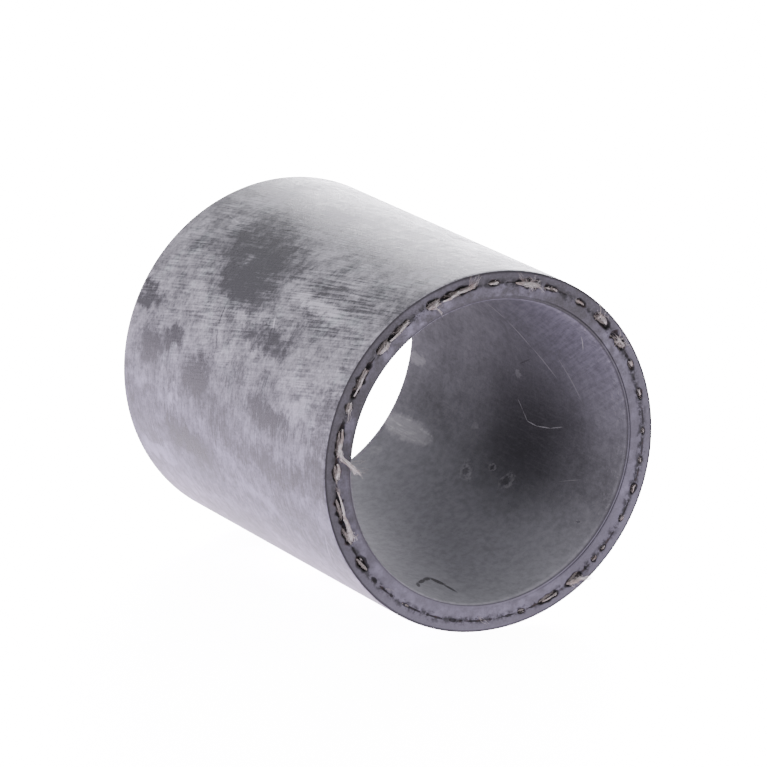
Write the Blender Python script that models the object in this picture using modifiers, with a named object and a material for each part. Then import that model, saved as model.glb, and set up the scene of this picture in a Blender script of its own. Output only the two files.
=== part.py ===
"""Straight coupling sleeve cut from textile-reinforced rubber hose.

The sleeve is built the way such a hose is made: a rubber inner tube, a braid of
flat yarns wound over it in both directions, and a rubber cover over the braid.
It lies on its side, with its axis along Y and the origin at the middle of its bore.
Lengths are in metres and angles in radians.
"""

import math

import bmesh
import bpy
from mathutils import Vector

# Driving dimensions.
LENGTH = 0.075
BORE_RADIUS = 0.026
OUTER_RADIUS = 0.031
BRAID_RADIUS = 0.029
YARNS_EACH_WAY = 16
CROSSINGS = 18
YARN_WIDTH = 0.0020
YARN_THICKNESS = 0.0005
PLAY = 0.0003

# How finely round things are divided.
ROUND_STEPS = 64
YARN_SIDES = 8

# What follows from those.
HALF_LENGTH = LENGTH / 2
YARN_PITCH = 2 * math.pi / YARNS_EACH_WAY
TURN_PER_CROSSING = YARN_PITCH / 2
RISE_PER_CROSSING = LENGTH / CROSSINGS
YARN_LIFT = (YARN_THICKNESS + PLAY) / 2
BRAID_HALF_DEPTH = YARN_LIFT + YARN_THICKNESS / 2
CHORD_SAG = BRAID_RADIUS * (1 - math.cos(TURN_PER_CROSSING / 2))
TUBE_OUTER_RADIUS = BRAID_RADIUS - BRAID_HALF_DEPTH - CHORD_SAG - PLAY
COVER_INNER_RADIUS = BRAID_RADIUS + BRAID_HALF_DEPTH + PLAY
HALF_STEP = math.pi / ROUND_STEPS


def clear_scene():
    for thing in list(bpy.data.objects):
        bpy.data.objects.remove(thing, do_unlink=True)


def new_collection(name):
    collection = bpy.data.collections.new(name)
    bpy.context.scene.collection.children.link(collection)
    return collection


def plain_material(name, colour, roughness):
    material = bpy.data.materials.new(name)
    material.use_nodes = True
    shader = material.node_tree.nodes["Principled BSDF"]
    shader.inputs["Base Color"].default_value = (*colour, 1.0)
    shader.inputs["Roughness"].default_value = roughness
    shader.inputs["Metallic"].default_value = 0.0
    material.diffuse_color = (*colour, 1.0)
    return material


def sleeve_axis(collection):
    """The empty that everything hangs from: its own Z lies along the sleeve."""
    axis = bpy.data.objects.new("sleeve_axis", None)
    axis.rotation_euler = (-math.pi / 2, 0, 0)
    collection.objects.link(axis)
    return axis


def rubber_layer(name, inner_radius, outer_radius, axis, collection, material):
    """A length of plain rubber tube, turned from its wall section.

    Half a step of turn sets it down on a flat of its outside, not on an edge.
    """
    section = bmesh.new()
    corners = [
        (outer_radius, HALF_LENGTH),
        (outer_radius, -HALF_LENGTH),
        (inner_radius, -HALF_LENGTH),
        (inner_radius, HALF_LENGTH),
    ]
    points = [section.verts.new((radius, 0, height)) for radius, height in corners]
    for start, end in zip(points, points[1:] + points[:1]):
        section.edges.new((start, end))
    mesh = bpy.data.meshes.new(name)
    section.to_mesh(mesh)
    section.free()

    layer = bpy.data.objects.new(name, mesh)
    collection.objects.link(layer)
    layer.data.materials.append(material)
    layer.parent = axis
    layer.rotation_euler = (0, 0, HALF_STEP)
    turn = layer.modifiers.new("turn", "SCREW")
    turn.axis = "Z"
    turn.angle = 2 * math.pi
    turn.steps = ROUND_STEPS
    turn.render_steps = ROUND_STEPS
    turn.use_merge_vertices = True
    turn.merge_threshold = 0.00001
    turn.use_smooth_shade = False
    return layer


def yarn_section(collection):
    """The flat oval that a yarn is pressed to. X is its thickness and Y its width."""
    outline = bpy.data.curves.new("yarn_section", "CURVE")
    outline.dimensions = "2D"
    spline = outline.splines.new("POLY")
    spline.points.add(YARN_SIDES - 1)
    for i, point in enumerate(spline.points):
        turn = 2 * math.pi * (i + 0.5) / YARN_SIDES
        point.co = (YARN_THICKNESS / 2 * math.cos(turn), YARN_WIDTH / 2 * math.sin(turn), 0, 1)
    spline.use_cyclic_u = True
    guide = bpy.data.objects.new("yarn_section", outline)
    guide.hide_render = True
    guide.display_type = "WIRE"
    collection.objects.link(guide)
    return guide


def yarn_radius(crossing, hand):
    """How far from the axis a yarn runs at one of its crossings.

    Each yarn passes over two yarns of the other set, then under two.
    """
    over = (crossing // 2) % 2 == 0
    return BRAID_RADIUS + hand * (YARN_LIFT if over else -YARN_LIFT)


def yarn_mesh(name, hand, section, collection, material):
    """One yarn, wound right-handed for hand 1 and left-handed for hand -1.

    The middle of the yarn has a point at each crossing, halfway between the ends of
    a step. It runs one crossing past both ends of the sleeve and is cut off flush.
    """
    path = bpy.data.curves.new(name, "CURVE")
    path.dimensions = "3D"
    path.twist_mode = "Z_UP"
    path.bevel_mode = "OBJECT"
    path.bevel_object = section
    path.use_fill_caps = True
    spline = path.splines.new("POLY")
    crossings = range(-1, CROSSINGS + 1)
    spline.points.add(len(crossings) - 1)
    for crossing, point in zip(crossings, spline.points):
        steps = crossing + 0.5
        turn = hand * steps * TURN_PER_CROSSING
        height = steps * RISE_PER_CROSSING - HALF_LENGTH
        radius = yarn_radius(crossing, hand)
        point.co = (radius * math.cos(turn), radius * math.sin(turn), height, 1)

    strand = bpy.data.objects.new(name, path)
    collection.objects.link(strand)
    bpy.context.view_layer.update()
    graph = bpy.context.evaluated_depsgraph_get()
    mesh = bpy.data.meshes.new_from_object(strand.evaluated_get(graph))
    bpy.data.objects.remove(strand, do_unlink=True)

    solid = bmesh.new()
    solid.from_mesh(mesh)
    bmesh.ops.remove_doubles(solid, verts=solid.verts, dist=0.000001)
    for end in (-1, 1):
        cut_flush(solid, Vector((0, 0, end * HALF_LENGTH)), Vector((0, 0, end)))
    bmesh.ops.recalc_face_normals(solid, faces=solid.faces)
    solid.to_mesh(mesh)
    solid.free()
    mesh.name = name
    mesh.materials.clear()
    mesh.materials.append(material)
    return mesh


def cut_flush(solid, point, outward):
    """Cuts off what lies beyond a plane and closes the cut with one flat face."""
    everything = solid.verts[:] + solid.edges[:] + solid.faces[:]
    cut = bmesh.ops.bisect_plane(
        solid, geom=everything, plane_co=point, plane_no=outward, clear_outer=True
    )
    rim = [piece for piece in cut["geom_cut"] if isinstance(piece, bmesh.types.BMEdge)]
    bmesh.ops.edgeloop_fill(solid, edges=rim)


def yarn_set(name, hand, first_turn, section, axis, collection, material):
    """All the yarns that are wound one way, spaced evenly round the tube."""
    mesh = yarn_mesh(name, hand, section, collection, material)
    for i in range(YARNS_EACH_WAY):
        yarn = bpy.data.objects.new(f"{name}_{i + 1:02d}", mesh)
        collection.objects.link(yarn)
        yarn.parent = axis
        yarn.rotation_euler = (0, 0, first_turn + i * YARN_PITCH)


def main():
    clear_scene()
    sleeve = new_collection("hose_sleeve")
    guides = new_collection("guides")
    axis = sleeve_axis(sleeve)
    section = yarn_section(guides)

    tube_rubber = plain_material("tube_rubber", (0.085, 0.085, 0.105), 0.62)
    cover_rubber = plain_material("cover_rubber", (0.16, 0.16, 0.17), 0.55)
    braid_textile = plain_material("braid_textile", (0.52, 0.46, 0.38), 0.90)

    rubber_layer("inner_tube", BORE_RADIUS, TUBE_OUTER_RADIUS, axis, sleeve, tube_rubber)
    yarn_set("right_hand_yarn", 1, 0.0, section, axis, sleeve, braid_textile)
    yarn_set("left_hand_yarn", -1, TURN_PER_CROSSING, section, axis, sleeve, braid_textile)
    rubber_layer("outer_cover", COVER_INNER_RADIUS, OUTER_RADIUS, axis, sleeve, cover_rubber)


main()
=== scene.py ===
"""Looks of a straight coupling sleeve, cut from textile-reinforced rubber hose.

The sections follow the hose as it is made: the rubber inner tube, the yarns wound over
it, the rubber cover, and the filaments that stand out where a knife cut the yarns.
Meshes are in metres. Patterns, marks and lists of places are in millimetres and degrees.
"""

import math

import bpy
import numpy as np
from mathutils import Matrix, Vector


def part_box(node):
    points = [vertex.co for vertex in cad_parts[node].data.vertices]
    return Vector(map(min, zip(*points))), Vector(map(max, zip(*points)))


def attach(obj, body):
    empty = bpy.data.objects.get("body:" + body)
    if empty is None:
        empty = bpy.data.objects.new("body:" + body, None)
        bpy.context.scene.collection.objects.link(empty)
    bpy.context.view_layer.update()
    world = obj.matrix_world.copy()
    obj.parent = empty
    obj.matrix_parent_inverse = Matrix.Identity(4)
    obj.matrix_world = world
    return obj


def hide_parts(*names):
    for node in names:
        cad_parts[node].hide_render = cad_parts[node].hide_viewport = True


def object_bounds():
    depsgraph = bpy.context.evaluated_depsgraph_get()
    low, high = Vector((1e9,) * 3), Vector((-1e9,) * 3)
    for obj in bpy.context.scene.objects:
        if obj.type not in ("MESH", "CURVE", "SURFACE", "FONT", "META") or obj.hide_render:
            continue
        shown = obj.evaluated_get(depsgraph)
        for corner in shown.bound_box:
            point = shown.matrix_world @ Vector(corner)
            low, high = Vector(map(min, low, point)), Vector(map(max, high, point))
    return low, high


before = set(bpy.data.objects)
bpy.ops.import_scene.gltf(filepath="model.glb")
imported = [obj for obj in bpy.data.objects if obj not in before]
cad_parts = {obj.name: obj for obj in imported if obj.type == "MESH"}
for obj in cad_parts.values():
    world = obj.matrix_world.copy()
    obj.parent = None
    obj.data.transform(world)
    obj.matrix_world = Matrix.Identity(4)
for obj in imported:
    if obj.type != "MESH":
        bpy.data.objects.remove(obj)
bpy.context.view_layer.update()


# ---------------------------------------------------------------- inner tube
# The inner tube is the lining that carries the coolant: black rubber, pushed out over a
# smooth mandrel and cured. A knife cut it to length, so both of its ends are a little
# uneven, and they are torn into pits where they held the cut ends of the yarns.

MM = 0.001
HALF_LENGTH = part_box("inner_tube")[1].y
TUBE_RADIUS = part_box("inner_tube")[1].z
BORE_RADIUS = 26.0 * MM
BRAID_RADIUS = 29.0 * MM
BRAID_SHIFT = 0.2 * MM
COLLAR = HALF_LENGTH - 3.0 * MM
COLLAR_SLOPE = 1.0 * MM
BORE_LIP = 0.35 * MM
LIP_GROOVE = 26.75 * MM
GROOVE_WIDTH = 0.12 * MM
GROOVE_DEPTH = 0.14 * MM
CUT_PROUD = 0.25 * MM
CUT_SLANT = 0.25 * MM
CUT_WAVE = 0.08 * MM
KNIFE_LINES = 0.05 * MM
KNIFE_LINE_WIDTH = 0.4 * MM
PIT_HALO = 0.45
# The tube and the cover share these, so that their cut ends meet. Near end first.
KNIFE_SEEDS = (11, 12)
SEAM_TURN = math.radians(-60)
TURN_STEPS = 1080

# What the knife left of the yarns. A pit is (half length round the wall, half height, depth).
PITS = {
    "speck": (0.55, 0.32, 0.45),
    "dot": (0.9, 0.42, 0.60),
    "blob": (1.4, 0.60, 0.65),
    "dash": (2.2, 0.48, 0.60),
    "long": (3.0, 0.52, 0.65),
    "fuzz": (1.9, 0.65, 0.65),
    "hole": (1.3, 0.60, 1.10),
    "slit": (1.5, 0.16, 0.06),
    "pock": (0.75, 0.30, 0.08),
    "nick": (0.35, 0.24, 0.05),
}
# Each pit of the near end, by its angle from +X, anticlockwise as that end is faced.
NEAR_PITS = [
    (0, "speck"), (5, "slit"), (13, "dot"), (24, "dot"), (27.5, "slit"), (33.5, "fuzz"),
    (43.5, "fuzz"), (54.5, "dot"), (63, "slit"), (67, "dot"), (76, "fuzz"), (81, "slit"),
    (89, "dot"), (101, "long"), (105, "dash"), (112, "blob"), (126.5, "dash"),
    (134, "blob"), (141, "slit"), (147.5, "long"), (157, "dot"), (168.5, "long"),
    (174.5, "slit"), (179, "blob"), (185, "slit"), (192, "long"), (201, "fuzz"),
    (208, "slit"), (213, "hole"), (221, "pock"), (226.5, "slit"), (230, "nick"), (236, "pock"),
    (240, "slit"), (246, "nick"), (249.5, "slit"), (256, "pock"), (259, "nick"), (264.5, "slit"),
    (270, "nick"), (277, "slit"), (282, "speck"),
    (287, "slit"), (293, "dash"), (303.7, "fuzz"), (309, "slit"), (313.5, "speck"),
    (318, "speck"), (321.5, "slit"), (329.5, "speck"), (333, "slit"), (340, "dot"),
    (345, "slit"), (350, "speck"), (354, "slit"),
]
far_draw = np.random.default_rng(31)
FAR_PITS = [
    (place * 360 / 32 + far_draw.uniform(-2, 2), far_draw.choice(list(PITS))) for place in range(32)
]


def waves(turn, counts, seed):
    """A smooth uneven wave round the wall, from -1 to 1, that meets itself."""
    draw = np.random.default_rng(seed)
    total = sum(np.cos(n * turn + draw.uniform(0, 2 * np.pi)) / n**0.5 for n in counts)
    return total / sum(1 / n**0.5 for n in counts)


def pit_shares(radius, turn, pits, seed, spread):
    """For each look of pit, how far a point is inside one, from 0 to 1.

    spread widens each pit by that share of its depth.
    """
    ragged = 1 + 0.8 * waves(turn, range(60, 130, 3), seed)
    ring = BRAID_RADIUS + BRAID_SHIFT * np.cos(turn)
    shares = {look: np.zeros_like(turn) for look in PITS}
    for degrees, look in pits:
        half_round, half_high, depth = PITS[look]
        halo = spread * depth
        off = np.angle(np.exp(1j * (turn - math.radians(degrees)))) * BRAID_RADIUS
        away = np.hypot(off / (half_round + halo), (radius - ring) / (half_high + halo))
        share = np.clip((1.25 - away / MM * ragged) / 0.5, 0, 1)
        shares[look] = np.maximum(shares[look], share * share * (3 - 2 * share))
    return shares


def cut_relief(radius, turn, pits, seed):
    """How far a cut end stands out from its plane, in metres: slant, knife waves and pits."""
    out = CUT_PROUD + CUT_SLANT * np.cos(turn) + CUT_WAVE * waves(turn, range(2, 9), seed)
    lines = waves(turn, range(30, 60), seed + 1) * np.cos(radius / KNIFE_LINE_WIDTH)
    out = out + KNIFE_LINES * lines
    groove = np.exp(-(((radius - LIP_GROOVE) / GROOVE_WIDTH) ** 2))
    out = out - GROOVE_DEPTH * groove * np.clip(np.cos(turn) + 0.3, 0, 1)
    for look, share in pit_shares(radius, turn, pits, seed + 2, 0).items():
        out = out - PITS[look][2] * MM * share
    return out


def turned_wall(name, section, chart_radius, seeds):
    """A closed wall turned round Y from rows of (radius, along, end), near end first.

    end is -1 or 1 on a cut end, which the knife and the yarns shape, and 0 elsewhere.
    The map "wall" gives millimetres round the wall, and along it or out from the axis.
    The values "cut" and "pit" say where the cut ends and the torn rubber are.
    """
    section = np.array(section)
    turns = SEAM_TURN + np.linspace(0, 2 * np.pi, TURN_STEPS, endpoint=False)
    radius, turn = np.meshgrid(section[:, 0], turns, indexing="ij")
    along = np.repeat(section[:, 1:2], TURN_STEPS, axis=1)
    pit = np.zeros_like(turn)
    for side, pits, seed in ((-1, NEAR_PITS, seeds[0]), (1, FAR_PITS, seeds[1])):
        on_end = section[:, 2] == side
        along[on_end] += side * cut_relief(radius[on_end], turn[on_end], pits, seed)
        shares = pit_shares(radius[on_end], turn[on_end], pits, seed + 2, PIT_HALO)
        pit[on_end] = np.max(list(shares.values()), axis=0)
    points = np.stack([radius * np.cos(turn), along, radius * np.sin(turn)], axis=-1)

    row, column = np.meshgrid(np.arange(len(section)), np.arange(TURN_STEPS), indexing="ij")
    row, column = row.ravel(), column.ravel()
    next_row = (row + 1) % len(section)
    next_column = (column + 1) % TURN_STEPS
    corners = [(row, column), (next_row, column), (next_row, next_column), (row, next_column)]
    faces = np.stack([r * TURN_STEPS + c for r, c in corners], axis=-1)
    mesh = bpy.data.meshes.new(name)
    mesh.from_pydata(points.reshape(-1, 3), [], faces.tolist())

    on_cut = section[:, 2] != 0
    face_cut = on_cut[row] & on_cut[next_row]
    chart = np.zeros((len(faces), 4, 2))
    for corner, (r, step) in enumerate([(row, 0), (next_row, 0), (next_row, 1), (row, 1)]):
        chart[:, corner, 0] = (column + step) * 2 * np.pi / TURN_STEPS * chart_radius / MM
        chart[:, corner, 1] = np.where(face_cut, section[r, 0], section[r, 1]) / MM
    mesh.uv_layers.new(name="wall")
    mesh.uv_layers["wall"].data.foreach_set("uv", chart.ravel())
    for value, numbers in (("cut", np.repeat(on_cut, TURN_STEPS)), ("pit", pit.ravel())):
        layer = mesh.attributes.new(value, "FLOAT", "POINT")
        layer.data.foreach_set("value", numbers.astype(np.float32))
    mesh.shade_smooth()
    wall = bpy.data.objects.new(name, mesh)
    bpy.context.scene.collection.objects.link(wall)
    return wall


def evenly(start, end, count):
    """Evenly spaced values from start to end."""
    return np.linspace(start, end, count).tolist()


def mirrored(near_rows):
    """The same rows at the far end, in the order in which they follow round the wall."""
    return [(radius, -along, -end) for radius, along, end in reversed(near_rows)]


near_bore_edge = [
    (BORE_RADIUS, -HALF_LENGTH + BORE_LIP, 0),
    (BORE_RADIUS + BORE_LIP / 4, -HALF_LENGTH, 0),
]
near_tube_face = [(r, -HALF_LENGTH, -1) for r in evenly(BORE_RADIUS + BORE_LIP, BRAID_RADIUS, 26)]
near_collar = [(BRAID_RADIUS, -COLLAR - COLLAR_SLOPE, 0), (TUBE_RADIUS, -COLLAR, 0)]
near_tube_rows = near_bore_edge + near_tube_face + near_collar
bore_rows = [(BORE_RADIUS, y, 0) for y in evenly(HALF_LENGTH - 1 * MM, -HALF_LENGTH + 1 * MM, 25)]
tube_wall = turned_wall(
    "tube_wall", near_tube_rows + mirrored(near_tube_rows) + bore_rows, BORE_RADIUS, KNIFE_SEEDS
)


class Tone:
    """A value, colour or geometry on its way through a node tree. Arithmetic adds nodes."""

    def __init__(self, tree, socket=None):
        self.tree = tree
        self.socket = socket

    def node(self, kind, settings, sockets, output=0):
        """Adds any node: its settings first, then the values or links of its sockets."""
        made = self.tree.nodes.new(kind)
        for name, value in settings.items():
            setattr(made, name, value)
        for name, value in sockets.items():
            if isinstance(value, Tone):
                self.tree.links.new(value.socket, made.inputs[name])
            else:
                made.inputs[name].default_value = value
        return Tone(self.tree, made.outputs[output])

    def maths(self, operation, *values):
        return self.node("ShaderNodeMath", {"operation": operation}, dict(enumerate(values)))

    def __add__(self, other):
        return self.maths("ADD", self, other)

    def __sub__(self, other):
        return self.maths("SUBTRACT", self, other)

    def __rsub__(self, other):
        return self.maths("SUBTRACT", other, self)

    def __mul__(self, other):
        return self.maths("MULTIPLY", self, other)

    __radd__ = __add__
    __rmul__ = __mul__

    def peak(self, other):
        return self.maths("MAXIMUM", self, other)

    def rise(self, low, high):
        """Goes smoothly from 0 to 1 as the value goes from low to high."""
        settings = {"interpolation_type": "SMOOTHSTEP"}
        return self.node("ShaderNodeMapRange", settings, {0: self, 1: low, 2: high})

    def vector(self, operation, other, output=0):
        return self.node("ShaderNodeVectorMath", {"operation": operation}, {0: self, 1: other}, output)

    def scaled(self, share):
        """This vector times a number."""
        return self.node("ShaderNodeVectorMath", {"operation": "SCALE"}, {0: self, "Scale": share})

    def axis(self, name):
        return self.node("ShaderNodeSeparateXYZ", {}, {0: self}, name)

    def grain(self, size, detail=3, rough=0.55, stretch=(1, 1, 1), output=0):
        """Noise on this point. size is a grain in millimetres, before the stretch."""
        point = self.vector("DIVIDE", [size * s for s in stretch])
        sockets = {"Vector": point, "Scale": 1, "Detail": detail, "Roughness": rough}
        return self.node("ShaderNodeTexNoise", {}, sockets, output)

    def paint(self, low, high):
        """The colour between low and high that this share gives."""
        return self.node("ShaderNodeMix", {"data_type": "RGBA"}, {0: self, 6: low, 7: high}, 2)

    def away(self, centre, size, tilt=0):
        """How far a chart point is from an oval's centre: 1 on the edge. Tilt in degrees."""
        sockets = {
            "Vector": self,
            "Location": (*centre, 0),
            "Rotation": (0, 0, math.radians(tilt)),
            "Scale": (*size, 1),
        }
        placed = self.node("ShaderNodeMapping", {"vector_type": "TEXTURE"}, sockets)
        return placed.vector("LENGTH", (0, 0, 0), 1)

    def scratch(self, start, end, width):
        """A thin line on the chart, fading at both ends."""
        step = (end[0] - start[0], end[1] - start[1])
        centre = ((start[0] + end[0]) / 2, (start[1] + end[1]) / 2)
        size = (math.hypot(*step) * 0.55, width / 2)
        return self.away(centre, size, math.degrees(math.atan2(step[1], step[0]))).rise(1, 0.5)


class Finish:
    """A material being painted, with the point, the wall chart and its shader at hand."""

    def __init__(self, name):
        self.material = bpy.data.materials.new(name)
        self.material.use_nodes = True
        self.start = Tone(self.material.node_tree)
        self.shader = self.start.tree.nodes["Principled BSDF"]
        place = self.start.node("ShaderNodeTexCoord", {}, {}, "Object")
        self.point = place.vector("DIVIDE", [MM] * 3)
        self.chart = self.start.node("ShaderNodeUVMap", {"uv_map": "wall"}, {})

    def value(self, name):
        """A number kept on the mesh, such as where its cut ends are."""
        return self.start.node("ShaderNodeAttribute", {"attribute_name": name}, {}, "Fac")

    def twisted(self, turn_per_mm):
        """The point, turned round the axis by so many degrees for each millimetre along it."""
        angle = self.point.axis("Y") * math.radians(turn_per_mm)
        sockets = {"Vector": self.point, "Angle": angle}
        return self.start.node("ShaderNodeVectorRotate", {"rotation_type": "Y_AXIS"}, sockets)

    def set(self, **sockets):
        """Sets or links the shader's sockets, named with _ for a space."""
        for name, value in sockets.items():
            socket = self.shader.inputs[name.replace("_", " ")]
            if isinstance(value, Tone):
                self.start.tree.links.new(value.socket, socket)
            else:
                socket.default_value = value

    def bump(self, height, depth):
        """Raises the surface by height times depth, which is in millimetres."""
        sockets = {"Strength": 1, "Distance": depth * MM, "Height": height}
        self.set(Normal=self.start.node("ShaderNodeBump", {}, sockets))


def grey(level, tint=(1, 1, 1)):
    """A grey of that strength, leaning towards a tint."""
    return (*[level * t for t in tint], 1)


VIOLET = (0.95, 0.92, 1.14)
RUST = (1.35, 0.90, 0.82)


def cut_rubber(finish):
    """Knife-cut rubber: dark slate, smeared violet-grey inside the braid, black in the pits, with
    painted shade on its edges and in the lip groove.
    """
    point = finish.point
    radius = point.vector("MULTIPLY", (1, 0, 1)).vector("LENGTH", (0, 0, 0), 1)
    inner = radius.rise(26.4, 27.0) * radius.rise(29.2, 28.4)
    smear = point.grain(1.8, 4, 0.6).rise(0.34, 0.70)
    smear = smear * point.grain(8.0, 2).rise(0.30, 0.62) * (0.25 + inner * 0.75)
    strokes = point.grain(0.35, 4, 0.7, (1, 6, 1)).rise(0.35, 0.75)
    dull = (radius.rise(29.0, 29.6) * 0.5 + 0.5).paint(grey(0.070), grey(0.046))
    colour = (smear * 0.75 + strokes * 0.25).paint(dull, grey(0.185, VIOLET))
    # Paler towards the bottom and the right, darker towards the top and the far left.
    paler = point.axis("Z").rise(4, -24) * 0.42 + point.axis("X").rise(18, 30) * 0.34
    colour = paler.paint(colour, grey(0.150, VIOLET))
    darker_top_and_left = point.axis("Z").rise(16, 27) * point.axis("X").rise(-6, 6) * 0.20
    darker_top_and_left = darker_top_and_left.peak(point.axis("X").rise(-16, -27) * 0.34)
    colour = darker_top_and_left.paint(colour, grey(0.030))
    wander = (point.grain(1.5, 3) - 0.5) * 1.6
    smudge = (radius + wander).rise(28.0, 28.7) * (radius + wander).rise(30.0, 29.2)
    smudge = smudge * point.grain(1.3, 5, 0.7).rise(0.44, 0.56)
    colour = (smudge * 0.85).paint(colour, grey(0.026, (0.98, 1.0, 1.0)))
    ring = (radius + wander).rise(28.65, 28.95) * (radius + wander).rise(29.45, 29.15)
    ring = ring * point.grain(0.9, 4, 0.7).rise(0.48, 0.62)
    # Painted shade: near black along the outer rim and at the bore's edge, and in the lip groove on
    # the right-hand side.
    edge_shade = radius.rise(30.45, 30.75).peak(radius.rise(26.42, 26.32))
    groove = radius.rise(26.6, 26.72) * radius.rise(26.9, 26.78) * point.axis("X").rise(6, 18)
    torn = (finish.value("pit") + (point.grain(0.5, 4, 0.7) - 0.5) * 1.1).rise(0.25, 0.95)
    dark = torn.peak(ring * 0.8).peak(edge_shade * 0.85).peak(groove * 0.9)
    colour = (dark * 0.86).paint(colour, grey(0.010))
    rust = finish.value("pit") * point.grain(0.9, 3).rise(0.50, 0.66)
    return (rust * 0.5).paint(colour, grey(0.035, RUST))


def on_chart(radius, degrees, along):
    """A chart place: degrees round the wall, and millimetres from its near end."""
    round_mm = (math.radians(degrees) - SEAM_TURN) % (2 * math.pi) * radius / MM
    return (round_mm, along - HALF_LENGTH / MM)


# Marks of use in the bore. A rub is (degrees, along, half round, half along, strength).
BORE_RUBS = [
    (-37, 67, 2.3, 10, 0.62),
    (-10, 72, 1.2, 3.5, 0.4),
    (-50, 71, 1.2, 2.0, 0.2),
    (3, 36.5, 0.8, 1.2, 0.25),
    (-24, 47.5, 0.7, 1.0, 0.2),
]
# Scratches are (start, end, width, strength), and their places (degrees, along).
PALE_BORE_SCRATCHES = [
    ((8, 22), (18, 30), 0.45, 0.22),
    ((17, 29.5), (26, 36), 0.40, 0.28),
    ((26, 36), (31, 41), 0.35, 0.20),
    ((39, 5), (28, 9), 0.25, 0.45),
    ((-9, 20), (-12, 24.5), 0.24, 0.35),
    ((-11.7, 23.8), (-13.5, 29), 0.26, 0.45),
    ((-13.4, 28.2), (-13.2, 32.2), 0.26, 0.45),
    ((-13.6, 31.6), (-10.0, 34.2), 0.24, 0.35),
    ((-10.4, 33.8), (-6.5, 36.4), 0.22, 0.3),
    ((-24, 10), (-29, 17), 0.18, 0.2),
    ((3, 14), (19, 21), 0.5, 0.18),
]
# The outline that a drop left as it ran and dried, and two short cuts beside it.
DARK_BORE_SCRATCHES = [
    ((-95, 6.5), (-94.5, 13), 0.8, 0.9),
    ((-94.5, 11.0), (-95.2, 17.0), 1.4, 1.0),
    ((-95.0, 16.8), (-99.5, 14.6), 1.6, 1.0),
    ((-98, 15.8), (-105, 12.2), 1.2, 1.0),
    ((-104, 13.4), (-109.5, 8.6), 0.9, 0.9),
    ((12, 31), (7, 36), 0.4, 0.5),
]
# Stains of dried drops, pale round a dark middle: (degrees, along, half round, half along, tilt).
BORE_STAINS = [
    (-37.5, 31, 1.5, 1.7, 30),
    (-41, 43.5, 1.3, 2.2, -30),
    (-35, 37, 0.6, 1.0, 0),
    (-39, 5.5, 0.5, 0.8, 0),
]


def bore_rubber(finish):
    """The smooth bore: near black half way in as painted shade, greyer low down as painted light,
    violet high up by the end.
    """
    point = finish.point
    drift = point.grain(1.6, 4, 0.7, output=1).vector("SUBTRACT", (0.5, 0.5, 0.5))
    chart = finish.chart.vector("ADD", drift.vector("MULTIPLY", (2.6, 3.4, 0)))
    cloud = point.grain(9, 5, 0.6, (1, 1.8, 1)).rise(0.32, 0.68)
    fine = point.grain(1.1, 5, 0.72, (1, 1.6, 1)).rise(0.34, 0.66)
    darker, lighter = grey(0.095, (0.97, 0.98, 1.03)), grey(0.185, (0.98, 0.98, 1.04))
    colour = (cloud * 0.6 + fine * 0.4).paint(darker, lighter)
    near_end_dust_and_light = point.axis("Y").rise(-31, -37)
    high = point.axis("Z").rise(-10, 16) * point.axis("Y").rise(16, -30)
    brushed = finish.twisted(-1.2).grain(0.7, 5, 0.7, (1, 12, 1)).rise(0.36, 0.66)
    violet = (brushed * 0.7 + fine * 0.3).paint(grey(0.080, VIOLET), grey(0.165, VIOLET))
    colour = (high * 0.85).paint(colour, violet)
    # Painted light: the bottom of the bore greyer and paler, where light comes in through the
    # openings.
    low = point.axis("Z").rise(-10, -25)
    colour = (low * (0.55 + fine * 0.25)).paint(colour, grey(0.35, (0.98, 0.985, 1.05)))
    # Painted shade: a near-black oval on the right-hand wall half way in, where the least light
    # reaches.
    middle_shade = chart.away(on_chart(BORE_RADIUS, -16, 30), (17, 22)).rise(1.25, 0.1)
    colour = (middle_shade * 0.9).paint(colour, grey(0.034, (0.97, 0.97, 1.08)))
    # Pale dust specks and streaks; the specks grow paler towards the near opening, as more dust and as
    # painted light from the opening.
    dusting = point.grain(0.8, 6, 0.75).rise(0.50, 0.72)
    streaks = point.grain(0.5, 5, 0.7, (1, 9, 1)).rise(0.45, 0.75)
    light = dusting * (0.03 + near_end_dust_and_light * 0.16) + streaks * 0.045
    for degrees, along, half_round, half_along, strength in BORE_RUBS:
        place = on_chart(BORE_RADIUS, degrees, along)
        oval = chart.away(place, (half_round, half_along)).rise(1.1, 0.6)
        light = light.peak(oval * strength * (0.5 + streaks))
    for start, end, width, strength in PALE_BORE_SCRATCHES:
        line = finish.chart.scratch(on_chart(BORE_RADIUS, *start), on_chart(BORE_RADIUS, *end), width)
        light = light.peak(line * strength)
    dark = point.grain(0.6, 4, 0.7).rise(0.66, 0.74) * 0.6
    for start, end, width, strength in DARK_BORE_SCRATCHES:
        line = finish.chart.scratch(on_chart(BORE_RADIUS, *start), on_chart(BORE_RADIUS, *end), width)
        dark = dark.peak(line * strength)
    # Painted shade: the last few tenths of a millimetre of the bore at each end darkened, over the lit
    # chamfer of the lip.
    ends = point.axis("Y").maths("ABSOLUTE").rise(36.9, 37.2)
    dark = dark.peak(ends * 0.9)
    for degrees, along, half_round, half_along, tilt in BORE_STAINS:
        away = chart.away(on_chart(BORE_RADIUS, degrees, along), (half_round, half_along), tilt)
        light = light.peak(away.rise(1.3, 1.0) * away.rise(0.5, 0.85) * (fine * 0.24))
        dark = dark.peak(away.rise(0.75, 0.35) * 0.45)
    colour = light.paint(colour, grey(0.55))
    return (dark * 0.85).paint(colour, grey(0.012))


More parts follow.
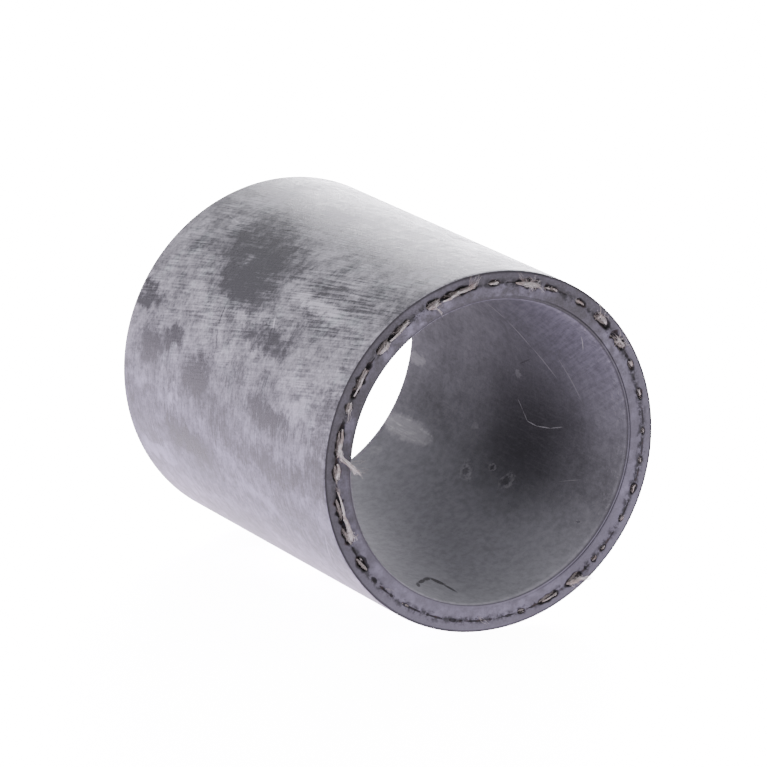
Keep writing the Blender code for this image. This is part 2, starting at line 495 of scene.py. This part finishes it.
tube_rubber = Finish("tube_rubber")
cut = tube_rubber.value("cut")
grit = tube_rubber.point.grain(0.25, 4, 0.7)
tube_rubber.set(
    Base_Color=cut.paint(bore_rubber(tube_rubber), cut_rubber(tube_rubber)),
    Roughness=0.6 + cut * 0.1 + grit * 0.15,
    Specular_IOR_Level=0.06,
)
tube_rubber.bump(grit * (0.25 + cut * 0.75), 0.06)
tube_wall.data.materials.append(tube_rubber.material)
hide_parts("inner_tube")
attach(tube_wall, "root")


# --------------------------------------------------------------- braid yarns
# The yarns are flat bundles of cotton-like staple fibre, wound over the tube both ways
# by a braiding machine. They carry the pressure, and only their cut ends can be seen.

WARM = (1.08, 1.0, 0.90)

yarn_textile = Finish("yarn_textile")
fibres = yarn_textile.point.grain(0.12, 4, 0.7)
yarn_textile.set(
    Base_Color=fibres.rise(0.3, 0.7).paint(grey(0.04, WARM), grey(0.22, WARM)),
    Roughness=0.95,
    Specular_IOR_Level=0.2,
)
yarn_textile.bump(fibres, 0.1)
for name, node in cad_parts.items():
    if "yarn" in name:
        node.data.materials.clear()
        node.data.materials.append(yarn_textile.material)


# --------------------------------------------------------------- outer cover
# The cover is extruded over the braid and cured with it. Its outside has the whitish
# bloom of stored rubber, wiped darker and brushed where hands and tools have touched it.

COVER_RADIUS = 31.0 * MM
COVER_BORE = 29.95 * MM
RIM = 0.12 * MM

near_inside = [(COVER_BORE, -COLLAR, 0), (BRAID_RADIUS, -COLLAR - COLLAR_SLOPE, 0)]
near_cover_face = [(r, -HALF_LENGTH, -1) for r in evenly(BRAID_RADIUS, COVER_RADIUS - RIM, 22)]
near_rim = [
    (COVER_RADIUS - RIM / 4, -HALF_LENGTH, 0),
    (COVER_RADIUS, -HALF_LENGTH + RIM, 0),
]
near_cover_rows = near_inside + near_cover_face + near_rim
side_rows = [(COVER_RADIUS, y, 0) for y in evenly(-HALF_LENGTH + 1 * MM, HALF_LENGTH - 1 * MM, 25)]
cover_rows = near_cover_rows + side_rows + mirrored(near_cover_rows)
cover_wall = turned_wall("cover_wall", cover_rows, COVER_RADIUS, KNIFE_SEEDS)

# Wiped places: (degrees, along, half round, half along, strength).
WIPED = [
    (131, 47, 9, 12, 1.0),
    (119, 51, 8, 10, 0.8),
    (108, 53, 5, 8, 0.35),
    (137, 42, 4, 13, 0.7),
    (127, 58, 5, 7, 0.7),
    (124, 38, 5, 9, 0.6),
    (126, 24, 2.0, 18, 0.4),
    (138, 9, 2.0, 10, 0.35),
    (149, 29, 2.8, 10, 1.1),
    (124, 6, 8, 12, 0.25),
    (120, 2, 4, 6, 0.4),
    (162, 58, 2.6, 5, 1.5),
    (170, 48, 4.4, 7, 1.6),
    (169, 66, 3.6, 6, 0.9),
    (171, 22, 3.0, 10, 1.1),
    (164, 67, 4, 5, 0.7),
    (178, 40, 4, 12, 0.5),
    (153, 71, 2.6, 6, 1.5),
    (160, 3, 9, 5, 0.6),
    (178, 3, 8, 5, 0.6),
    (104, 71, 2, 5, 0.4),
    (186, 20, 3.0, 22, 0.8),
    (193, 52, 4.0, 14, 0.9),
    (212, 24, 5.0, 8, 0.3),
    (22, 50, 9, 12, 1.0),
    (12, 40, 5, 10, 0.8),
    (48, 16, 5, 11, 0.8),
    (64, 60, 4, 8, 0.6),
    (340, 22, 5, 11, 1.0),
    (350, 66, 4, 6, 0.9),
    (290, 56, 7, 9, 0.8),
    (262, 22, 6, 12, 0.8),
]
# Spots where the bloom is thicker.
BLOOMED = [
    (97, 44, 2.5, 4, 0.6),
    (101, 68, 8, 12, 0.45),
    (204, 67, 2.6, 9, 1.3),
    (215, 55, 3.0, 12, 0.6),
    (200, 30, 2.0, 14, 0.5),
    (176, 8, 3.0, 6, 0.5),
    (180, 57, 2.2, 4, 1.1),
    (179, 70, 1.8, 5, 0.7),
    (165, 12, 3, 7, 0.6),
    (133, 21, 1.6, 11, 1.0),
    (106, 5, 1, 6, 1.0),
    (191, 37, 2.4, 6, 0.6),
    (148, 55, 3, 7, 0.6),
    (147, 40, 1.2, 3, 0.8),
    (158, 40, 3, 6, 0.4),
    (152, 3, 2, 5, 0.5),
    (0, 22, 5, 12, 0.6),
    (310, 44, 4, 9, 0.7),
    (250, 50, 5, 9, 0.6),
]
# Places brushed hard enough to show each stroke.
BRUSHED = [
    (128, 18, 9, 20, 1.3),
    (112, 68, 5, 8, 0.8),
    (148, 50, 6, 14, 0.9),
    (172, 20, 5, 16, 0.9),
    (182, 58, 4, 8, 1.0),
]
# Scratches: dark ones first, then pale ones: (start, end, width, strength).
DARK_SCRATCHES = [
    ((144, 46.5), (152, 45.5), 0.45, 0.9),
    ((152, 45.5), (160, 43.0), 0.35, 0.7),
    ((145, 29.5), (150, 28.0), 0.35, 0.8),
    ((158, 40.0), (164, 50.0), 0.30, 0.4),
]
PALE_SCRATCHES = [
    ((141, 30.5), (146, 28.5), 0.35, 0.8),
    ((200, 3.5), (215, 7.5), 0.40, 0.9),
    ((203, 4.5), (208, 3.0), 0.35, 0.8),
    ((212, 6.0), (217, 4.5), 0.35, 0.8),
    ((108, 47), (106, 53), 0.50, 0.5),
    ((119, 60), (117, 68), 0.30, 0.4),
]

cover_rubber = Finish("cover_rubber")


def cover_bloom(finish):
    """How thick the whitish bloom lies on the cover, from 0 to 1."""
    point = finish.point
    drift = point.grain(3.0, 4, 0.65, output=1).vector("SUBTRACT", (0.5, 0.5, 0.5))
    chart = finish.chart.vector("ADD", drift.vector("MULTIPLY", (9, 9, 0)))
    brushed = finish.twisted(0.37).grain(0.36, 4, 0.66, (1, 24, 1)).rise(0.38, 0.66)
    wiped_round = point.grain(0.30, 5, 0.68, (11, 1, 11)).rise(0.38, 0.66)
    scuffs = point.grain(0.60, 5, 0.78).rise(0.36, 0.66)
    upper = (point.axis("Z") + (point.grain(9, 2) - 0.5) * 26).rise(0, 16)
    strokes = brushed * upper + wiped_round * (1 - upper)
    brushing = point.grain(5.0, 3).rise(0.42, 0.66)
    for degrees, along, half_round, half_along, strength in BRUSHED:
        place = on_chart(COVER_RADIUS, degrees, along)
        oval = chart.away(place, (half_round, half_along)).rise(1.1, 0.3)
        brushing = brushing.peak(oval * strength)
    mottle = point.grain(2.2, 6, 0.72).rise(0.36, 0.66)
    bloom = 0.24 + point.grain(9, 2).rise(0.3, 0.7) * 0.20 + mottle * 0.26
    for marks, change in ((WIPED, -0.36), (BLOOMED, 0.36)):
        for degrees, along, half_round, half_along, strength in marks:
            place = on_chart(COVER_RADIUS, degrees, along)
            oval = chart.away(place, (half_round, half_along)).rise(1.1, 0.3)
            bloom = bloom + oval * (change * strength)
    bloom = bloom + (strokes - 0.45) * (0.15 + brushing * 0.27) + (scuffs - 0.45) * 0.24
    for marks, change in ((DARK_SCRATCHES, -0.4), (PALE_SCRATCHES, 0.5)):
        for start, end, width, strength in marks:
            ends = (on_chart(COVER_RADIUS, *start), on_chart(COVER_RADIUS, *end))
            bloom = bloom + finish.chart.scratch(*ends, width) * (change * strength)
    return bloom


bloom = cover_bloom(cover_rubber)
height = cover_rubber.point.axis("Z")
tinge = cover_rubber.point.grain(5, 4, 0.65).rise(0.52, 0.66)
bloom_tint_and_painted_light = tinge.paint(grey(0.57, (0.985, 0.965, 1.05)), grey(0.54, (0.94, 0.985, 1.04)))
# Painted shade along the lower side, in a darker violet grey, and painted light at the bottom, a pale
# lilac that stands in for the light thrown up from the white table.
bloom_tint_and_painted_light = height.rise(18, -6).paint(bloom_tint_and_painted_light, grey(0.38, (0.95, 0.90, 1.18)))
bloom_tint_and_painted_light = height.rise(-12, -25).paint(bloom_tint_and_painted_light, grey(0.60, (1.0, 0.88, 1.14)))
cover_cut = cover_rubber.value("cut")
bloom_and_painted_light = bloom.rise(-0.02, 1.15).paint(grey(0.064, (0.98, 0.965, 1.07)), bloom_tint_and_painted_light)
cover_rubber.set(
    Base_Color=cover_cut.paint(bloom_and_painted_light, cut_rubber(cover_rubber)),
    Roughness=0.30 + bloom * 0.35 + cover_cut * 0.2,
    Specular_IOR_Level=0.16,
)
strokes = cover_rubber.twisted(0.37).grain(0.4, 4, 0.66, (1, 18, 1))
cover_rubber.bump(cover_rubber.point.grain(0.3, 4, 0.7) * 0.5 + strokes * 0.8, 0.06)
cover_wall.data.materials.append(cover_rubber.material)
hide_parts("outer_cover")
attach(cover_wall, "root")


# ------------------------------------------------------------ frayed filaments
# The knife pulled the yarns as it cut them. Their fibres stand out of the pits in tufts,
# lie along the wall in strands, and one lock hangs into the bore.

# A tuft goes from a place to a place, each (degrees, radius, height above the cut end).
# Then come its bow outward, half width at the root, scatter of the tips, and fibres.
NEAR_TUFTS = [
    ((33.5, 29.4, 0.0), (33.5, 29.4, 0.6), 0.0, 0.25, 1.5, 38),
    ((33.5, 29.4, 0.1), (28.5, 30.7, 0.9), 0.4, 0.07, 0.21, 3),
    ((34.0, 29.4, 0.1), (38.5, 30.6, 0.8), 0.4, 0.07, 0.21, 3),
    ((35.5, 29.4, 0.0), (31.0, 29.2, 0.1), 0.4, 0.12, 0.30, 14),
    ((41.5, 29.2, 0.0), (46.0, 29.5, 0.2), 0.4, 0.15, 0.40, 22),
    ((44.5, 29.4, 0.0), (45.5, 29.6, 0.5), 0.1, 0.22, 1.2, 26),
    ((46.0, 29.5, 0.2), (49.0, 30.8, 0.7), 0.3, 0.11, 0.30, 5),
    ((52.8, 29.1, -0.1), (56.5, 29.1, 0.0), 0.15, 0.07, 0.13, 12),
    ((64.5, 29.0, -0.1), (66.2, 29.0, 0.0), 0.2, 0.09, 0.17, 16),
    ((67.6, 29.0, -0.1), (69.0, 29.0, 0.1), 0.1, 0.09, 0.17, 12),
    ((80.6, 28.9, -0.1), (72.5, 29.1, 0.2), 0.5, 0.14, 0.40, 36),
    ((76.0, 29.0, 0.0), (75.0, 29.1, 0.5), 0.1, 0.30, 1.4, 32),
    ((77.0, 29.0, 0.2), (80.5, 30.3, 0.6), 0.3, 0.22, 0.42, 8),
    ((73.0, 29.1, 0.1), (70.0, 28.5, 0.4), 0.3, 0.14, 0.42, 8),
    ((90.2, 28.9, -0.1), (87.6, 28.9, 0.0), 0.2, 0.11, 0.15, 24),
    ((108.5, 28.4, -0.1), (102.0, 28.9, 0.1), 0.4, 0.13, 0.21, 34),
    ((102.6, 28.8, 0.0), (96.0, 29.2, 0.1), 0.4, 0.14, 0.26, 36),
    ((97.5, 29.1, 0.1), (94.5, 30.9, 0.5), 0.5, 0.14, 0.42, 9),
    ((98.5, 29.2, 0.1), (97.5, 31.2, 0.6), 0.4, 0.11, 0.30, 4),
    ((113.8, 28.5, -0.1), (110.2, 28.8, 0.3), 0.5, 0.27, 0.40, 50),
    ((112.0, 28.4, 0.1), (110.6, 26.6, 0.2), 0.3, 0.14, 0.21, 12),
    ((131.0, 28.5, -0.1), (122.4, 28.9, 0.1), 0.35, 0.14, 0.15, 54),
    ((136.4, 28.5, -0.1), (132.0, 28.7, 0.1), 0.4, 0.25, 0.30, 56),
    ((134.0, 28.6, 0.0), (133.5, 28.6, 0.4), 0.1, 0.22, 0.51, 20),
    ((153.0, 28.5, -0.2), (143.5, 28.7, -0.1), 0.2, 0.12, 0.17, 30),
    ((155.2, 28.6, -0.1), (158.6, 28.6, 0.0), 0.3, 0.18, 0.21, 34),
    ((157.5, 28.5, 0.0), (161.5, 28.2, 0.2), 0.2, 0.18, 0.34, 9),
    ((164.6, 28.6, -0.1), (173.5, 28.8, 0.2), 0.45, 0.16, 0.19, 52),
    ((170.0, 28.7, 0.0), (174.5, 28.4, 0.7), 0.4, 0.22, 0.34, 26),
    ((172.6, 28.7, 0.1), (179.6, 25.5, 0.9), 0.9, 0.22, 0.34, 56),
    ((174.5, 28.3, 0.3), (181.0, 24.6, 0.8), 0.7, 0.22, 0.38, 18),
    ((178.0, 26.6, 0.7), (180.0, 23.4, 0.7), -0.3, 0.18, 0.42, 5),
    ((176.0, 27.4, 0.6), (175.0, 24.2, 0.7), 0.3, 0.18, 0.51, 4),
    ((176.4, 28.5, -0.1), (181.0, 28.6, 0.1), 0.35, 0.22, 0.24, 48),
    ((186.0, 28.6, -0.1), (196.5, 28.4, 0.1), 0.4, 0.11, 0.17, 34),
    ((187.0, 28.6, 0.1), (183.5, 28.9, 0.3), 0.3, 0.14, 0.34, 7),
    ((194.0, 28.4, 0.0), (203.8, 28.4, 0.1), 0.6, 0.17, 0.36, 42),
    ((201.5, 28.4, 0.1), (201.8, 28.4, 0.5), 0.1, 0.30, 1.0, 30),
    ((211.6, 28.5, -0.4), (212.8, 28.5, -0.3), 0.1, 0.11, 0.13, 14),
    ((226.5, 28.6, 0.0), (229.0, 28.2, 0.2), 0.2, 0.22, 0.34, 3),
    ((266.0, 28.3, 0.0), (269.0, 29.8, 0.2), 0.2, 0.36, 0.59, 6),
    ((281.0, 28.9, -0.2), (283.0, 28.9, -0.1), 0.1, 0.09, 0.13, 8),
    ((290.3, 29.2, -0.1), (296.0, 29.0, 0.1), 0.3, 0.11, 0.14, 36),
    ((301.0, 29.0, -0.1), (305.6, 29.4, 0.3), 0.5, 0.27, 0.50, 46),
    ((304.5, 29.4, 0.2), (308.2, 30.8, 0.6), 0.4, 0.25, 0.38, 30),
    ((303.0, 29.2, 0.1), (303.2, 29.2, 0.5), 0.1, 0.35, 1.1, 30),
    ((312.6, 29.2, -0.1), (314.2, 29.2, 0.0), 0.1, 0.11, 0.13, 16),
    ((317.6, 29.2, -0.1), (318.6, 29.2, 0.0), 0.1, 0.09, 0.13, 16),
    ((329.0, 29.3, -0.1), (330.2, 29.3, 0.0), 0.1, 0.09, 0.13, 14),
    ((338.8, 29.3, -0.1), (341.2, 29.3, 0.0), 0.15, 0.11, 0.13, 20),
    ((349.0, 29.3, -0.2), (350.4, 29.3, -0.1), 0.1, 0.09, 0.10, 8),
    ((359.2, 29.3, -0.2), (0.6, 29.3, -0.1), 0.1, 0.09, 0.10, 8),
    ((12.2, 29.3, -0.1), (14.2, 29.3, 0.1), 0.15, 0.13, 0.13, 24),
    ((23.2, 29.3, -0.1), (25.0, 29.3, 0.1), 0.15, 0.16, 0.15, 30),
]


# A pit deeper than this, in millimetres, lays the cut end of a yarn bare.
YARN_DEPTH = 0.3


def stubs(pits):
    """Short fibres standing on the cut yarn in each pit that lays one bare."""
    bare = [(degrees, PITS[look]) for degrees, look in pits if PITS[look][2] > YARN_DEPTH]
    tufts = []
    for degrees, (half_round, _, _) in bare:
        half_turn = math.degrees(half_round * MM / BRAID_RADIUS) * 0.5
        for place in (degrees - half_turn, degrees, degrees + half_turn):
            tufts.append(((place, 29.1, -0.3), (place, 29.1, 0.1), 0.0, 0.20, 0.26, 6))
    return tufts


def far_tufts():
    """Tufts like those of the near end, one or two for each open pit of the far end."""
    draw = np.random.default_rng(32)
    tufts = stubs(FAR_PITS)
    for degrees, look in FAR_PITS:
        half_round = math.degrees(PITS[look][0] * MM / BRAID_RADIUS)
        lean = half_round * draw.uniform(-1, 1)
        if PITS[look][2] < YARN_DEPTH:
            continue
        start = (degrees - lean, 28.9, -0.1)
        end = (degrees + lean, 29.1, draw.uniform(0, 0.3))
        tufts.append((start, end, 0.3, 0.22, draw.uniform(0.15, 0.4), 40))
        if look in ("fuzz", "blob", "long"):
            tip = (degrees + draw.uniform(-2, 2), 29 + draw.uniform(-2, 1.2), 0.6)
            tufts.append((start, tip, 0.4, 0.3, 0.6, 20))
    return tufts


def end_place(side, degrees, radius, height):
    """The point at that angle, radius and height above a cut end, in metres."""
    turn = math.radians(degrees)
    out = HALF_LENGTH + CUT_PROUD + CUT_SLANT * math.cos(turn) + height * MM
    return np.array([radius * MM * math.cos(turn), side * out, radius * MM * math.sin(turn)])


def tuft_points(name, side, tufts):
    """A mesh of one point for each tuft, which keeps what the fibres need to know."""
    roots = np.array([end_place(side, *row[0]) for row in tufts])
    tips = np.array([end_place(side, *row[1]) for row in tufts])
    mesh = bpy.data.meshes.new(name)
    mesh.from_pydata(roots.tolist(), [], [])
    kept = {
        "reach": ("FLOAT_VECTOR", "vector", tips - roots),
        "bow": ("FLOAT_VECTOR", "vector", np.array([(0, side * row[2] * MM, 0) for row in tufts])),
        "spread": ("FLOAT", "value", np.array([row[3] for row in tufts]) * MM),
        "scatter": ("FLOAT", "value", np.array([row[4] for row in tufts]) * MM),
        "fibres": ("INT", "value", np.array([row[5] for row in tufts])),
        # How pale a tuft's fibres may grow, from how many it has: a stub's few fibres stay dark, as
        # dirty fibre and as painted shade down in its pit, and thick tufts grow pale, as clean fibre
        # and as painted light where they stand out.
        "clean_and_lit": ("FLOAT", "value", np.array([min(1, row[5] / 24) for row in tufts])),
    }
    for label, (kind, field, numbers) in kept.items():
        mesh.attributes.new(label, kind, "POINT").data.foreach_set(field, numbers.ravel())
    return mesh


def fray_tree():
    """The nodes that grow bent, tapering fibres from each tuft's point."""
    tree = bpy.data.node_groups.new("frayed_filaments", "GeometryNodeTree")
    inputs = {
        "Tufts": "NodeSocketGeometry",
        "Thickness": "NodeSocketFloat",
        "Density": "NodeSocketFloat",
        "Spread": "NodeSocketFloat",
        "Curl": "NodeSocketFloat",
        "Bends": "NodeSocketInt",
        "Seed": "NodeSocketInt",
        "Textile": "NodeSocketMaterial",
    }
    for label, kind in inputs.items():
        tree.interface.new_socket(label, in_out="INPUT", socket_type=kind)
    tree.interface.new_socket("Filaments", in_out="OUTPUT", socket_type="NodeSocketGeometry")
    entry = tree.nodes.new("NodeGroupInput")
    tones = [Tone(tree, socket) for socket in entry.outputs[: len(inputs)]]
    tufts, thickness, density, spread, curl, bends, seed, textile = tones

    def kept(label, kind):
        settings = {"data_type": kind}
        return tufts.node("GeometryNodeInputNamedAttribute", settings, {"Name": label}, "Attribute")

    def keep(geometry, label, kind, value):
        sockets = {"Geometry": geometry, "Name": label, "Value": value}
        return tufts.node("GeometryNodeStoreNamedAttribute", {"data_type": kind}, sockets)

    def tossed(salt):
        """A random vector for each fibre, each part of it from -1 to 1."""
        sockets = {0: (-1, -1, -1), 1: (1, 1, 1), 8: seed + salt}
        return tufts.node("FunctionNodeRandomValue", {"data_type": "FLOAT_VECTOR"}, sockets)

    sockets = {"Geometry": tufts, "Amount": kept("fibres", "INT") * density}
    grown = tufts.node("GeometryNodeDuplicateElements", {"domain": "POINT"}, sockets)
    place = tufts.node("GeometryNodeInputPosition", {}, {})
    scatter = tossed(2).scaled(kept("scatter", "FLOAT"))
    root = place.vector("ADD", tossed(1).scaled(kept("spread", "FLOAT") * spread))
    grown = keep(grown, "root", "FLOAT_VECTOR", root)
    grown = keep(grown, "reach", "FLOAT_VECTOR", kept("reach", "FLOAT_VECTOR").vector("ADD", scatter))
    sway = tossed(3).scaled(kept("scatter", "FLOAT") * 0.5)
    grown = keep(grown, "bow", "FLOAT_VECTOR", kept("bow", "FLOAT_VECTOR").vector("ADD", sway))
    settings = {"data_type": "FLOAT"}
    tone = tufts.node("FunctionNodeRandomValue", settings, {2: 0.0, 3: 1.0, 8: seed + 4}, 1)
    grown = keep(grown, "tone", "FLOAT", tone * kept("clean_and_lit", "FLOAT"))

    line = tufts.node("GeometryNodeCurvePrimitiveLine", {}, {"End": (0, 0, MM)})
    line = tufts.node("GeometryNodeResampleCurve", {}, {"Curve": line, "Count": bends})
    fibre = tufts.node("GeometryNodeInstanceOnPoints", {}, {"Points": grown, "Instance": line})
    fibre = tufts.node("GeometryNodeRealizeInstances", {}, {"Geometry": fibre})
    t = tufts.node("GeometryNodeSplineParameter", {}, {})
    reach = kept("reach", "FLOAT_VECTOR").scaled(t)
    bend = kept("bow", "FLOAT_VECTOR").scaled(t * (1 - t) * 4)
    straight = kept("root", "FLOAT_VECTOR").vector("ADD", reach)
    wander = straight.grain(0.7 * MM, 1, output=1).vector("SUBTRACT", (0.5, 0.5, 0.5))
    wander = wander.scaled(t * curl)
    bent = straight.vector("ADD", bend).vector("ADD", wander)
    fibre = tufts.node("GeometryNodeSetPosition", {}, {"Geometry": fibre, "Position": bent})
    section = tufts.node("GeometryNodeCurvePrimitiveCircle", {}, {"Resolution": 3, "Radius": 0.5})
    sockets = {
        "Curve": fibre,
        "Profile Curve": section,
        "Scale": thickness * (1 - t * 0.5),
        "Fill Caps": True,
    }
    filaments = tufts.node("GeometryNodeCurveToMesh", {}, sockets)
    filaments = tufts.node("GeometryNodeRealizeInstances", {}, {"Geometry": filaments})
    sockets = {"Geometry": filaments, "Material": textile}
    filaments = tufts.node("GeometryNodeSetMaterial", {}, sockets)
    leave = tree.nodes.new("NodeGroupOutput")
    tree.links.new(filaments.socket, leave.inputs[0])
    return tree


filament_textile = Finish("filament_textile")
# Each fibre's tone is random, held darker on small stubs and paler on thick tufts: dirt and clean
# fibre, and painted shade and light.
tone = filament_textile.value("tone")
fleck = filament_textile.point.grain(1.2, 3).rise(0.48, 0.62)
cream = tone.paint(grey(0.28, (1.08, 1.0, 0.91)), grey(0.90, (1.02, 1.0, 0.96)))
filament_textile.set(
    Base_Color=(fleck * 0.6).paint(cream, grey(0.30, (1.30, 1.0, 0.86))),
    Roughness=0.9,
    Specular_IOR_Level=0.2,
)

tree = fray_tree()
near_tufts = NEAR_TUFTS + stubs(NEAR_PITS)
for name, side, tufts in (("near_frayed_ends", -1, near_tufts), ("far_frayed_ends", 1, far_tufts())):
    guide = bpy.data.objects.new(name + "_guide", tuft_points(name, side, tufts))
    bpy.context.scene.collection.objects.link(guide)
    values = {
        "Thickness": 0.034 * MM,
        "Density": 1.0,
        "Spread": 0.72,
        "Curl": 0.9 * MM,
        "Bends": 8,
        "Seed": 7 + side,
        "Textile": filament_textile.material,
    }
    grow = guide.modifiers.new("frayed_filaments", "NODES")
    grow.node_group = tree
    for item in tree.interface.items_tree:
        if item.name in values:
            grow[item.identifier] = values[item.name]
    evaluated = guide.evaluated_get(bpy.context.evaluated_depsgraph_get())
    mesh = bpy.data.meshes.new_from_object(evaluated)
    bpy.data.objects.remove(guide)
    for label in ("root", "reach", "bow", "spread", "scatter", "fibres", "clean_and_lit"):
        if label in mesh.attributes:
            mesh.attributes.remove(mesh.attributes[label])
    frayed = bpy.data.objects.new(name, mesh)
    bpy.context.scene.collection.objects.link(frayed)
    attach(frayed, "root")


# ------------------------------------------------------------- light and camera
# The sleeve lies on a white light table in front of a bright backdrop, so its upper
# edge shines at a glancing angle and its lower side is lit softly from beneath.

TABLE_HALF = 20
WHITE = (1, 1, 1, 1)
table_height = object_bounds()[0].z
floor_mesh = bpy.data.meshes.new("floor")
corners = [
    (x * TABLE_HALF, y * TABLE_HALF, table_height)
    for x, y in ((-1, -1), (1, -1), (1, 1), (-1, 1))
]
floor_mesh.from_pydata(corners, [], [(0, 1, 2, 3)])
floor = bpy.data.objects.new("floor", floor_mesh)
bpy.context.scene.collection.objects.link(floor)


def glow(shader, start, seen, cast, colour):
    """Makes a shader look white to the camera, and light the sleeve with its own colour."""
    is_seen = start.node("ShaderNodeLightPath", {}, {}, "Is Camera Ray")
    start.tree.links.new((is_seen * (seen - cast) + cast).socket, shader.inputs["Strength"])
    start.tree.links.new(is_seen.paint(colour, WHITE).socket, shader.inputs["Color"])


table_white = bpy.data.materials.new("table_white")
table_white.use_nodes = True
table_white.node_tree.nodes.clear()
start = Tone(table_white.node_tree)
panel = start.node("ShaderNodeEmission", {}, {})
glow(panel.socket.node, start, 10, 3.5, (0.94, 0.84, 1.0, 1))
sheen = start.node("ShaderNodeLightPath", {}, {}, "Is Camera Ray").paint((0, 0, 0, 1), (6, 6, 6, 1))
sheet = start.node("ShaderNodeBsdfDiffuse", {}, {"Color": sheen})
both = start.node("ShaderNodeAddShader", {}, {0: panel, 1: sheet})
output = table_white.node_tree.nodes.new("ShaderNodeOutputMaterial")
table_white.node_tree.links.new(both.socket, output.inputs["Surface"])
floor_mesh.materials.append(table_white)

studio = bpy.data.worlds.new("studio")
studio.use_nodes = True
bpy.context.scene.world = studio
glow(studio.node_tree.nodes["Background"], Tone(studio.node_tree), 20, 1.0, (0.975, 0.965, 1.0, 1))

camera_data = bpy.data.cameras.new("camera")
camera_data.lens = 289
camera = bpy.data.objects.new("camera", camera_data)
bpy.context.scene.collection.objects.link(camera)
azimuth = math.radians(-28.27)
elevation = math.radians(15.45)
right, back, up = -15.496 * COVER_RADIUS, -27.615 * COVER_RADIUS, 9.133 * COVER_RADIUS
camera.location = (right, back - HALF_LENGTH, up)
camera.rotation_euler = (math.radians(90) - elevation, 0, azimuth)
bpy.context.scene.camera = camera


LAMP_AWAY = 0.75


def soft_box(name, turn, lift, size, brightness):
    """A panel facing the sleeve, at turn degrees to the right of +Y and lift degrees up."""
    panel = bpy.data.lights.new(name, "AREA")
    panel.shape = "RECTANGLE"
    panel.size, panel.size_y = size
    panel.color = (0.95, 0.925, 1.0)
    panel.energy = brightness * math.pi * panel.size * panel.size_y
    lamp = bpy.data.objects.new(name, panel)
    bpy.context.scene.collection.objects.link(lamp)
    lamp.visible_camera = False
    turn, lift = math.radians(turn), math.radians(lift)
    flat = math.cos(lift)
    way = np.array([math.sin(turn) * flat, math.cos(turn) * flat, math.sin(lift)])
    lamp.location = LAMP_AWAY * way
    lamp.rotation_euler = (math.radians(90) + lift, 0, math.pi - turn)
    return lamp


soft_box("backdrop", 37, 1, (0.70, 0.12), 38)
soft_box("rim_panel", 34, 21, (0.32, 0.30), 24)
